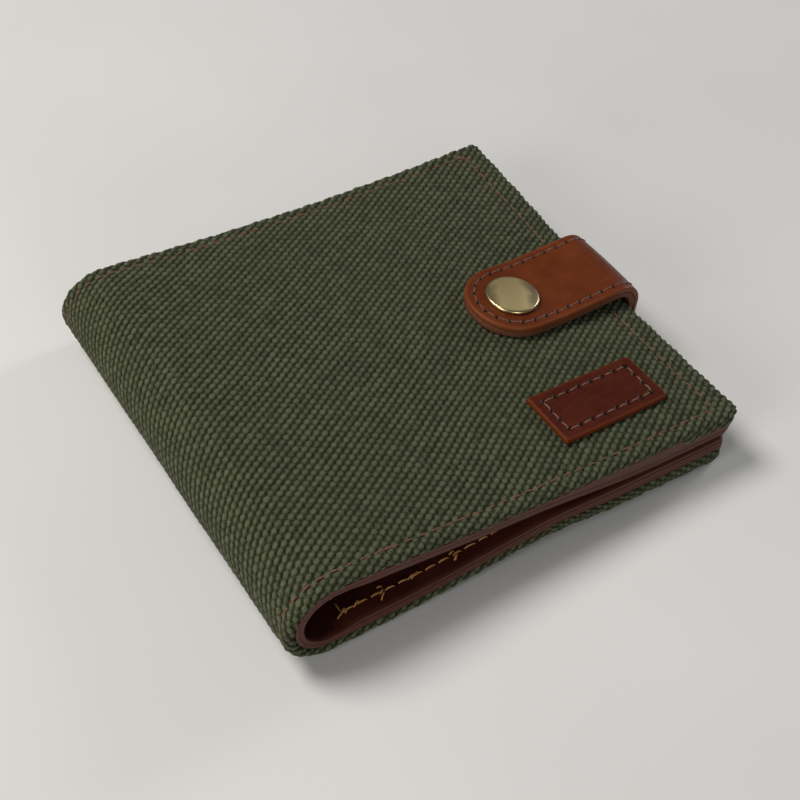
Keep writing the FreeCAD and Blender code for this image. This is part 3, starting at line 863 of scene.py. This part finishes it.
# ---- folded canvas corners ----
def corner_fold(side, start_x, thick_start, thick_end):
    """The lump of turned canvas at a cover's near corner, lying over the lining."""
    start, end = run_of(side, start_x), cover_end[side] - 0.8
    round_start, round_end, half_width, fold_q = 1.7, 2.4, 1.30, 0.98
    p_line = np.linspace(start, end, round((end - start) / 0.3))
    p, angle = np.meshgrid(p_line, np.linspace(0, 2 * math.pi, 40, endpoint=False), indexing="ij")
    head = np.clip((p - start) / round_start, 0, 1)
    tail = np.clip((p - end + round_end) / round_end, 0, 1)
    body = np.sqrt((1 - (1 - head) ** 2) * (1 - tail ** 2))
    thick = thick_start + (thick_end - thick_start) * (p - start) / (end - start)
    # the weave's tone paints shade in the gaps and highlight on the nub tops here too
    bump, tone = weave(p, 7 + angle * 1.6)
    q = fold_q + (half_width + bump) * body * np.cos(angle)
    w = hem + 0.1 + (thick + bump) * body * np.sin(angle)
    points = cover_points(side, p, q, w)
    index = np.arange(p.size).reshape(p.shape)
    faces = quads(wrapped(index)).tolist() + [index[0].tolist(), index[-1].tolist()[::-1]]
    made = build(f"{side}_corner_fold", points, faces, canvas_finish, tone)
    mount_on(f"{side}_cover", made, "canvas")


corner_fold("front", 97.0, 2.0, 1.7)
corner_fold("back", 62.0, 0.7, 1.9)


# ---- needle holes ----
def pits(holes):
    """Relief that sinks a round pit at each hole."""
    centres = np.array(holes, float)

    def dent(p, q):
        total = np.zeros_like(p)
        for hp, hq in centres:
            away = (p - hp) ** 2 + (q - hq) ** 2
            total = np.maximum(total, hole_depth * np.exp(-away / hole_radius ** 2))
        return total
    return dent


def holes_of(stitches):
    """Middle of each gap between neighbouring stitches of a row."""
    found = [stitches[0][0]]
    for one, two in zip(stitches[:-1], stitches[1:]):
        found.append((np.array(one[1]) + np.array(two[0])) / 2)
    found.append(stitches[-1][1])
    return found


# ---- leather patch ----
def patch():
    p0, p1 = run_of("front", patch_low[0]), run_of("front", patch_high[0])
    q0, q1 = patch_low[1], patch_high[1]
    inset = 2.5
    corners = [(p0 + inset, q0 + inset), (p1 - inset, q0 + inset),
               (p1 - inset, q1 - inset), (p0 + inset, q1 - inset)]
    rows, holes = [], []
    for k in range(4):
        line = stitch_line(corners[k], corners[(k + 1) % 4], length=2.35, jitter=0.05)
        rows += line
        holes += holes_of(line)

    def place_at(p, q, w):
        middle_p, middle_q = (p0 + p1) / 2, (q0 + q1) / 2
        off_p, off_q = p - middle_p, q - middle_q
        curl = 0.25 * np.abs(2 * off_p / (p1 - p0)) ** 3
        turned_p = middle_p + off_p * math.cos(patch_skew) - off_q * math.sin(patch_skew)
        turned_q = middle_q + off_p * math.sin(patch_skew) + off_q * math.cos(patch_skew)
        return cover_points("front", turned_p, turned_q, 0.1 - w - curl)

    sheet_piece = leather_sheet("leather_label_patch", place_at, (p0, p1, q0, q1),
                                (flat(0.1), flat(patch_thick)), patch_finish, radius=1.4, step=0.22,
                                round_over=0.28, relief=pits(holes))
    mount_on("front_cover", sheet_piece, "tan_leather", "leather_patch")
    threads = seam("patch_seam", by_depth(place_at), rows, -patch_thick + 0.12, pink_thread, radius=0.21,
                   rise=0.16, sink=0.4)
    mount_on("front_cover", threads, "brown_thread", "patch_stitching")


patch()


# ---- strap ----
def fillet_path(corners, radii):
    """A line through corners, rounded at each inner corner by its radius."""
    step = 0.1
    corners = [np.array(c, float) for c in corners]
    path = [corners[0]]
    for before, here, after, radius in zip(corners[:-2], corners[1:-1], corners[2:], radii):
        one = (before - here) / np.linalg.norm(before - here)
        two = (after - here) / np.linalg.norm(after - here)
        opening = math.acos(float(one @ two))
        cut = radius / math.tan(opening / 2)
        half = (one + two) / np.linalg.norm(one + two)
        centre = here + half * radius / math.sin(opening / 2)
        first, last = here + one * cut - centre, here + two * cut - centre
        sweep = math.pi - opening
        for t in np.linspace(0, 1, max(4, round(radius * sweep / step))):
            arm = (first * math.sin((1 - t) * sweep) + last * math.sin(t * sweep)) / math.sin(sweep)
            path.append(centre + arm)
    path.append(corners[-1])
    return np.array(path)


strap_mid_x = strap_out - strap_layer
strap_mid_z = strap_low + strap_layer
upper_run = (strap_mid_x - front_start_x - strap_lift * math.sin(tilt)) / math.cos(tilt)
upper_z = front_start_z - upper_run * math.sin(tilt) + strap_lift * math.cos(tilt)
crest_z = upper_z + strap_crest
low_radius, bend_radius, arch_radius = 2.4, 5.2, 30
arch_x, foot_x = 102.0, 93.0     # where the arch runs down to the cover


def rest_line(x):
    """Height of the strap's middle layer where it lies on the cover."""
    return upper_z - strap_sink + (strap_mid_x - x) * math.tan(tilt)


strap_path = fillet_path([(strap_tail, strap_mid_z), (strap_mid_x, strap_mid_z), (strap_mid_x, crest_z),
                          (arch_x, rest_line(arch_x) + 1.25), (foot_x, rest_line(foot_x) + 0.15),
                          (strap_tip + 0.7, rest_line(strap_tip))],
                         [low_radius, bend_radius, arch_radius, arch_radius])
fine = np.concatenate([np.linspace(a, b, 12, endpoint=False)
                       for a, b in zip(strap_path[:-1], strap_path[1:])] + [strap_path[-1:]])
strap_runs = np.concatenate([[0], np.cumsum(np.linalg.norm(np.diff(fine, axis=0), axis=1))])
strap_length = strap_runs[-1]
strap_tail_bend = strap_runs[np.argmax(fine[:, 0] > back_reach + 1.2)]
full_start = strap_runs[np.argmax(fine[:, 0] > back_reach + 0.4)]
middle_of_riser = strap_runs[np.argmax((fine[:, 1] > (strap_mid_z + upper_z) / 2)
                                       & (fine[:, 0] > strap_mid_x - 1))]
snap_run = strap_runs[np.argmin(np.abs(fine[:, 0] - snap_x) + 99 * (fine[:, 1] < upper_z - 1))]


def on_path(p):
    return np.array([np.interp(p, strap_runs, fine[:, 0]), np.interp(p, strap_runs, fine[:, 1])])


def strap_points(p, q, w):
    """p runs along the strap's middle layer, q is y, and w is the height on the outer side."""
    x, z = on_path(p)
    tx, tz = on_path(p + 0.3) - on_path(p - 0.3)
    size = np.hypot(tx, tz)
    bow = 0.22 * (1 - ((q - strap_y) / 10) ** 2) * smooth((p - middle_of_riser) / 8)
    return np.stack([x + (w + bow) * tz / size, q + 0 * x, z - (w + bow) * tx / size], axis=-1)


def strap_stitches():
    """Seam round the upper strap and down its two edges."""
    inset, half = 2.0, (strap_far - strap_near) / 2
    turn_p = strap_length - half
    low, high = strap_near + inset, strap_far - inset
    pitch, length = 3.1, 2.3

    def straight(start_p, end_p, q):
        return stitch_line((start_p, q), (end_p, q), pitch, length, jitter=0.05)

    near_row = straight(middle_of_riser, turn_p, low)
    far_row = straight(turn_p, middle_of_riser, high)
    reach = half - inset
    count = round(math.pi * reach / pitch)
    round_row = []
    for k in range(count):
        middle = math.pi * (k + 0.5) / count - math.pi / 2
        spread = length / 2 / reach
        round_row.append([np.array((turn_p + reach * math.cos(angle), strap_y + reach * math.sin(angle)))
                          for angle in (middle - spread, middle + spread)])
    lower = [straight(strap_tail_bend, middle_of_riser, q) for q in (low, high)]
    return [near_row + round_row + far_row], lower


def strap_depth(p):
    """The strap is pared thin where it is sewn into the back cover."""
    pared = 0.36
    return pared + (1 - pared) * smooth(p - full_start + 1.0)


def socket_room(p, q):
    """Opening in the strap's backing for the snap's socket, as relief of its lower face."""
    away = np.hypot(p - snap_run, q - snap_y)
    return -(strap_layer - 0.04) * (1 - smooth((away - socket_radius - 0.1) / 0.2))


def along_strap(p, q, w):
    return strap_points(p, q, w * strap_depth(p))


def strap_part(part, nodes, start, end, tip_radius, step, overlap, rows):
    """One of the strap's two visible lengths: outer leather, backing and seam."""
    outer_bend = 0.3
    holes = [hole for row in rows for hole in holes_of(row)]
    outer = leather_sheet(f"strap_{part}_outer_leather", along_strap,
                          (start, end + overlap * outer_bend, strap_near, strap_far),
                          (flat(sheet_gap), flat(strap_layer)), strap_finish, radius=tip_radius,
                          step=step, round_over=outer_bend, relief=pits(holes), open_start=True)
    inner = leather_sheet(f"strap_{part}_backing", along_strap,
                          (start, end + overlap * edge_bend, strap_near + 0.1, strap_far - 0.1),
                          (flat(-sheet_gap), flat(-strap_layer)), strap_back_finish,
                          radius=tip_radius, step=step, relief=socket_room, open_start=True)
    threads = seam(f"strap_{part}_seam", by_depth(strap_points), [stitch for row in rows for stitch in row],
                   -strap_layer + 0.12, brown_thread, radius=0.22, rise=0.15, sink=0.4)
    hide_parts(f"{nodes}_outer", "strap_riser_outer")
    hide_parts(f"{nodes}_lining", "strap_riser_lining")
    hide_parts("strap_end_stitching" if part == "upper" else "strap_riser_stitching")
    for piece, slot in ((outer, "tan_leather"), (inner, "tan_leather"), (threads, "brown_thread")):
        bend_strap(piece, part)


def bend_strap(piece, part):
    """Bakes a strap piece into place; the lower and the upper part are treated alike."""
    if part == "lower":
        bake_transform(piece)
    else:
        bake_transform(piece)


upper_rows, lower_rows = strap_stitches()
strap_part("upper", "strap_end", middle_of_riser, strap_length, (strap_far - strap_near) / 2 - 0.1,
           0.25, 0, upper_rows)
strap_part("lower", "strap_base", 0.0, middle_of_riser, 0.2, 0.35, 1, lower_rows)


# ---- snap ----
def cap_outline(radius, roll, rise):
    """Half section of the cap as radius and height: flat floor, rolled rim and low dome."""
    rim_r = radius - roll
    bend = np.linspace(-math.pi / 2, math.pi / 2 * 0.72, 12)
    points = [(0.0, 0.0), (rim_r * 0.6, 0.0)]
    points += [(rim_r + roll * math.cos(t), roll + roll * math.sin(t)) for t in bend]
    last_r, last_h = points[-1]
    for t in np.linspace(0, 1, 26)[1:]:
        points.append((last_r * (1 - t), last_h + rise * (1 - (1 - t) ** 2)))
    return np.array(points)


def turned(outline, count):
    """Points and faces of an outline turned round the z axis, closed at both ends."""
    turn = np.linspace(0, 2 * math.pi, count, endpoint=False)
    r, angle = np.meshgrid(outline[1:-1, 0], turn, indexing="ij")
    h = np.repeat(outline[1:-1, 1][:, None], count, axis=1)
    points = np.stack([r * np.cos(angle), r * np.sin(angle), h], -1).reshape(-1, 3)
    points = np.concatenate([points, [[0, 0, outline[0, 1]], [0, 0, outline[-1, 1]]]])
    index = wrapped(np.arange(r.size).reshape(r.shape))
    faces = quads(index).tolist()
    for k in range(count):
        faces.append([int(index[0, k]), r.size, int(index[0, k + 1])])
        faces.append([int(index[-1, k + 1]), int(index[-1, k]), r.size + 1])
    return points, faces


def snap_cap():
    """Domed cap with a rolled rim, darker on two opposite sides and most on the right, where the extra
    darkening is painted shade, and polished on the rim.
    """
    radius, roll, rise = (snap_high[1] - snap_low[1]) / 2, 0.55, 0.55
    aside, above = 0.35, 0.2         # the cap sits a little off the snap's axis, over the seam
    local, faces = turned(cap_outline(radius, roll, rise), 120)
    away = np.hypot(local[:, 0], local[:, 1])
    toward_right = np.cos(np.arctan2(local[:, 1], local[:, 0]) + 0.47)
    # Darker on two opposite sides; the extra darkening on the right side is painted shade. Centre and rim
    # keep the light brass colour.
    darkening = 0.75 * np.abs(toward_right) ** 2 + 0.35 * np.clip(toward_right, 0, 1)
    darkening *= smooth(away / radius * 1.4 - 0.3)
    darkening *= 1 - 0.8 * smooth((away - radius + roll) / roll)
    polish = smooth((away - radius + roll + 0.2) / roll)
    base = np.array([snap_x + aside, snap_y - aside, rest_line(snap_x) + strap_layer + above])
    lean = np.array(Matrix.Rotation(tilt, 3, "Y"))
    made = build("snap_cap_dome", local @ lean.T + base, faces, brass_finish, darkening, polish)
    mount_on("strap_end", made, "antique_brass", "snap_cap")


snap_cap()

for node, metal in (("snap_socket", brass_finish), ("snap_stud", brass_finish),
                    ("stud_rivet", brass_finish), ("snap_spring", steel_finish)):
    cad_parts[node].data.materials.clear()
    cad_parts[node].data.materials.append(metal)


# ---- floor, light and camera ----
def direction(azimuth, elevation):
    """Unit vector from the wallet towards an eye or a lamp at these angles in degrees."""
    a, e = math.radians(azimuth), math.radians(elevation)
    return Vector((math.sin(a) * math.cos(e), -math.cos(a) * math.cos(e), math.sin(e)))


def floor():
    mesh = bpy.data.meshes.new("floor")
    reach, level, sides = 0.6, -0.0003, 96
    turn = np.linspace(0, 2 * math.pi, sides, endpoint=False)
    rim_points = [(reach * math.cos(a), reach * math.sin(a), level) for a in turn]
    mesh.from_pydata(rim_points, [], [tuple(range(sides))])
    mesh.materials.append(floor_material())
    new_object("floor", mesh)


def soft_light(name, azimuth, elevation, distance, size, power, colour):
    """An area light aimed at the wallet from an angle."""
    light = bpy.data.lights.new(name, "AREA")
    light.shape = "DISK"
    light.size = size
    light.energy = power
    light.color = colour
    lamp = new_object(name, light)
    away = direction(azimuth, elevation)
    lamp.location = away * distance
    lamp.rotation_euler = away.to_track_quat("Z", "Y").to_euler()


def camera():
    back = direction(-37.9, 46.6)
    roll, distance = math.radians(6.7), 0.2932
    low, high = Vector(cad_box[0]), Vector(cad_box[1])
    middle = (low + high) / 2
    size = high - low
    target = middle + Vector((-0.0273 * size.x, -0.0555 * size.y, -0.262 * size.z))
    data = bpy.data.cameras.new("camera")
    data.lens = 59.58
    data.clip_start = 0.01
    eye = new_object("camera", data)
    turn = back.to_track_quat("Z", "Y").to_matrix() @ Matrix.Rotation(roll, 3, "Z")
    eye.matrix_world = Matrix.Translation(target + back * distance) @ turn.to_4x4()
    bpy.context.scene.camera = eye


def surroundings():
    """A weak fill light all round that the camera sees as a pale backdrop."""
    world = bpy.data.worlds.new("studio")
    world.use_nodes = True
    tree = world.node_tree
    fill = tree.nodes["Background"]
    fill.inputs["Color"].default_value = (0.9, 0.95, 1.0, 1)
    fill.inputs["Strength"].default_value = 0.10
    backdrop = tree.nodes.new("ShaderNodeBackground")
    backdrop.inputs["Color"].default_value = (0.60, 0.59, 0.57, 1)
    seen = tree.nodes.new("ShaderNodeLightPath").outputs["Is Camera Ray"]
    choice = tree.nodes.new("ShaderNodeMixShader")
    tree.links.new(seen, choice.inputs[0])
    tree.links.new(fill.outputs[0], choice.inputs[1])
    tree.links.new(backdrop.outputs[0], choice.inputs[2])
    tree.links.new(choice.outputs[0], tree.nodes["World Output"].inputs["Surface"])
    bpy.context.scene.world = world


def lamps():
    soft_light("key", -132, 56, 0.9, 0.40, 6.6, (1.0, 0.98, 0.95))
    soft_light("front_left", -75, 24, 0.8, 0.35, 2.2, (1.0, 0.99, 0.97))
    soft_light("front", -10, 14, 0.8, 0.25, 1.2, (1.0, 0.99, 0.98))
    soft_light("rim_right", 98, 24, 0.9, 0.25, 2.2, (0.97, 0.98, 1.0))


floor()
camera()
surroundings()
lamps()
bpy.context.scene.view_settings.view_transform = "Standard"
